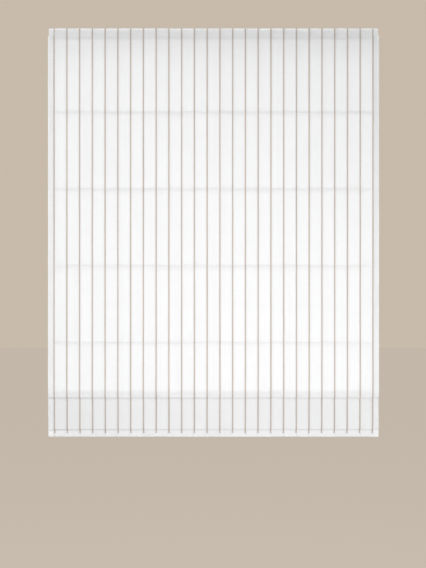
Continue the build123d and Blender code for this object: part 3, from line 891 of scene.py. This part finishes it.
cord_places = sorted(round(box_middle(f"lift_cord_{side}").x, 5) for side in cord_sides)
tip_outside, tip_length = 3 * mm, 9.7 * mm
on_axis = 1e-7  # the radius of an outline's ends, whose points are then merged into one
for number in rod_numbers:
    make_pocket(number)
    middle = box_middle(f"rod_rings_{number}")
    gather(f"sewn_rings_{number}", [ring_shape((x, middle.y, middle.z)) for x in cord_places],
           clear_plastic_finish, body_of_rod[number], [f"rod_rings_{number}"])
    rod_end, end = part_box(f"rod_{number}")[1].x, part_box(f"rod_tips_{number}")[1].x
    start = end - tip_length
    outline = [(on_axis, rod_end), (2.6 * mm, rod_end), (2.6 * mm, start + 0.1 * mm),
               (2.75 * mm, start), (2.9 * mm, start + 0.15 * mm), (tip_outside, start + 0.6 * mm),
               (tip_outside, end - 1.2 * mm), (2.75 * mm, end - 0.5 * mm),
               (2.2 * mm, end - 0.12 * mm), (1.4 * mm, end), (on_axis, end)]
    tips = [spin([(radius, side * along) for radius, along in outline], "x",
                 (0, rod_place[number].y, rod_place[number].z), 28, False) for side in (-1, 1)]
    gather(f"tips_of_rod_{number}", tips, white_plastic_finish, body_of_rod[number],
           [f"rod_tips_{number}"])
print("cords at", cord_places)

# %% [markdown]
# Thread shows wherever cloth is sewn. A stitch is a short thread that dips into the cloth at
# both ends. One small bowed shape is repeated along a seam, so that a whole seam is still one
# light mesh. The seams that hold the rods show on the front of the cloth as well.

# %% Stitches
stitch_pitch, stitch_length, stitch_width = 3.6 * mm, 2.6 * mm, 0.38 * mm


def stitch_shape(centre, out):
    """One stitch along the seam: a bowed thread that stands out, flat underneath."""
    sides, steps = 6, 4
    along = np.array((1.0, 0, 0))
    across = np.cross(along, out)
    points = []
    for i in range(steps + 1):
        share = i / steps
        bow = math.sin(math.pi * share)
        thick = stitch_width * (0.35 + 0.65 * bow) / 2
        middle = centre + along * stitch_length * (share - 0.5)
        middle = middle + out * stitch_width * (0.55 * bow - 0.35)
        points += [middle + thick * (math.cos(a) * across + math.sin(a) * out)
                   for a in ring_angles(sides)]
    return np.array(points), tube_faces(steps, sides)


def sew(name, places, out, body):
    shapes = [stitch_shape(np.array(place), np.array(out, float)) for place in places]
    piece = gather(name, shapes, thread_finish, body, [])
    flat_measure(piece, lambda at: (at[:, 0], at[:, 2]))


seam_places = np.arange(-pocket_half_length + 2 * mm, pocket_half_length - 1 * mm, stitch_pitch)
for number in (1, 2, 3, 4):
    sew(f"seam_stitches_{number}",
        [(x, front + seam_depth, rod_place[number].z) for x in seam_places], (0, -1, 0),
        body_of_rod[number])
hem_places = np.arange(-half_width + 4 * mm, half_width - 3 * mm, stitch_pitch)
sew("hem_stitches", [(x, hem_back, hem_pocket_top - 3 * mm) for x in hem_places], (0, 1, 0),
    "bottom")
print(len(seam_places), "stitches in each rod's seam")

# %% [markdown]
# The lift cords are thin braid. The braid's two sets of strands cross on its skin, so the
# tube's radius is raised and lowered by two waves that wind opposite ways. Each cord ends in a
# cone under its lowest ring.

# %% Lift cords and their cones
cord_radius, braid_depth, braid_step, braid_twist = 0.7 * mm, 0.05 * mm, 1.3 * mm, 900


def make_lift_cord(side):
    low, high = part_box(f"lift_cord_{side}")
    x, y = (low.x + high.x) / 2, (low.y + high.y) / 2
    sides, rows = 16, int((high.z - low.z) / braid_step)
    angles = ring_angles(sides)
    levels = np.linspace(high.z, low.z, rows + 1)
    twist = levels[:, None] * braid_twist
    relief = 0.5 * (np.sin(4 * angles + twist) * np.sin(4 * angles - twist))
    radius = cord_radius - braid_depth + braid_depth * relief
    points = np.stack([x + radius * np.cos(angles), y + radius * np.sin(angles),
                       np.tile(levels[:, None], (1, sides))], axis=-1)
    piece = gather(f"braided_cord_{side}", [(points.reshape(-1, 3), tube_faces(rows, sides))],
                   cord_finish, "root", [f"lift_cord_{side}"])
    flat_measure(piece, lambda at: (cord_radius * np.arctan2(at[:, 1] - y, at[:, 0] - x),
                                    at[:, 2]))
    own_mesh(piece)


for side in cord_sides:
    make_lift_cord(side)

cone_low, cone_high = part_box("cord_anchors")
base, top, bore_end = cone_low.z, cone_high.z, cone_high.z - 10 * mm
cone_outline = [(on_axis, bore_end), (1.0 * mm, bore_end), (1.0 * mm, top - 0.3 * mm),
                (1.3 * mm, top), (3.4 * mm, top), (3.75 * mm, top - 0.4 * mm),
                (3.75 * mm, top - 2.2 * mm), (3.2 * mm, top - 6 * mm),
                (2.9 * mm, base + 1.6 * mm), (2.5 * mm, base + 0.5 * mm), (1.6 * mm, base),
                (on_axis, base)]
cone_shapes = [spin(cone_outline, "z", (x, box_middle("cord_anchors").y, 0), 32, False)
               for x in cord_places]
gather("cord_cones", cone_shapes, clear_plastic_finish, "bottom",
       ["cord_anchors"])

# %% [markdown]
# Inside the rail a spool winds each cord. It is turned from one outline, with a ramp at the
# end where the cord comes on, and the turns of cord that are left on it are a real coil.

# %% Spools, windings and guides
spool_inner, wound_radius, turns_left = 3.48 * mm, 10 * mm, 3
shaft_middle = box_middle("lift_shaft")


def spool_outline(side):
    low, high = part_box(f"spool_{side}")
    middle, half = (low.x + high.x) / 2, (high.x - low.x) / 2
    barrel, flange, journal, thick = 9.3 * mm, 12.4 * mm, 5 * mm, 1.2 * mm
    flat, soft = 12 * mm, 0.3 * mm
    right = [(spool_inner, half), (journal - soft, half), (journal, half - soft),
             (journal, flat + thick), (flange - soft, flat + thick), (flange, flat + thick - soft),
             (flange, flat + soft), (flange - soft, flat)]
    left = [(radius, -along) for radius, along in reversed(right)]
    barrel_part = [(barrel, -flat), (barrel, flat - 2 * mm), (barrel + 1.5 * mm, flat)]
    outline = left + barrel_part + right
    return [(radius, middle + along) for radius, along in outline]


def coil(centre_x):
    """The cord left on a spool, each turn close beside the last."""
    steps, sides = 44, 10
    count = turns_left * steps
    wound_width = turns_left * 1.34 * cord_radius
    points = []
    for i in range(count + 1):
        a = 2 * math.pi * i / steps
        outwards, sideways = np.array([0, math.cos(a), math.sin(a)]), np.array([1.0, 0, 0])
        middle = np.array([centre_x + (i / count - 0.5) * wound_width, *shaft_middle.yz])
        middle += wound_radius * outwards
        points += [middle + cord_radius * (math.cos(b) * outwards + math.sin(b) * sideways)
                   for b in ring_angles(sides)]
    return np.array(points), tube_faces(count, sides)


for side in cord_sides:
    gather(f"turned_spool_{side}",
           [spin(spool_outline(side), "x", (0, *shaft_middle.yz), 56, True)],
           grey_plastic_finish, "drive", [f"spool_{side}"])
    winding = gather(f"wound_cord_{side}", [coil(box_middle(f"cord_winding_{side}").x)],
                     cord_finish, "drive", [f"cord_winding_{side}"])
    flat_measure(winding, lambda at: (at[:, 0], wound_radius * np.arctan2(
        at[:, 2] - shaft_middle.z, at[:, 1] - shaft_middle.y)))

guide_low, guide_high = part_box("cord_guides")
base, top = guide_low.z, guide_high.z
guide_outline = [(1.25 * mm, top - 0.3 * mm), (1.6 * mm, top), (2.7 * mm, top),
                 (3.0 * mm, top - 0.3 * mm), (3.0 * mm, base + 0.9 * mm),
                 (4.5 * mm, base + 0.9 * mm), (4.75 * mm, base + 0.6 * mm),
                 (4.6 * mm, base + 0.15 * mm), (4.0 * mm, base), (1.8 * mm, base),
                 (1.25 * mm, base + 0.5 * mm)]
guide_shapes = [spin(guide_outline, "z", (x, box_middle("cord_guides").y, 0), 32, True)
                for x in cord_places]
gather("cord_bushes", guide_shapes, white_plastic_finish, "root",
       ["cord_guides"])
print(turns_left, "turns left on each spool")

# %% [markdown]
# The hard pieces that the imported model already shapes well keep their meshes. They get their
# finish, and the end caps and the motor a narrow bevel, since a moulded edge is never quite sharp.

# %% Finish the hard pieces
bevelled, bevel_width = ("end_cap_left", "end_cap_right", "lift_motor"), 0.15 * mm


def dress(node, finish):
    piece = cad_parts[node]
    piece.data.materials.clear()
    piece.data.materials.append(finish)
    if node in bevelled:
        rounding = piece.modifiers.new("soft_edges", "BEVEL")
        rounding.width = bevel_width
        rounding.segments = 2
        rounding.limit_method = "ANGLE"
        rounding.angle_limit = math.radians(50)


hard_pieces = {
    rail_finish: ["headrail"],
    white_plastic_finish: ["end_cap_left", "end_cap_right", "bottom_bar_caps"],
    zinc_finish: [f"bracket_{side}" for side in cord_sides],
    grey_plastic_finish: [f"spool_cradle_{side}" for side in cord_sides],
    steel_finish: ["lift_shaft", "shaft_collars", "motor_hubs"],
    motor_finish: ["lift_motor"],
    rod_finish: [f"rod_{i}" for i in rod_numbers],
    bar_finish: ["bottom_bar"],
    tape_finish: ["hook_tape", "loop_tape"],
}
for finish, nodes in hard_pieces.items():
    for node in nodes:
        dress(node, finish)
print(sum(map(len, hard_pieces.values())), "hard pieces keep their meshes")

# %% [markdown]
# The picture is made with the Standard view, so that white cloth stays white.

# %% Picture settings
bpy.context.scene.view_settings.view_transform = "Standard"
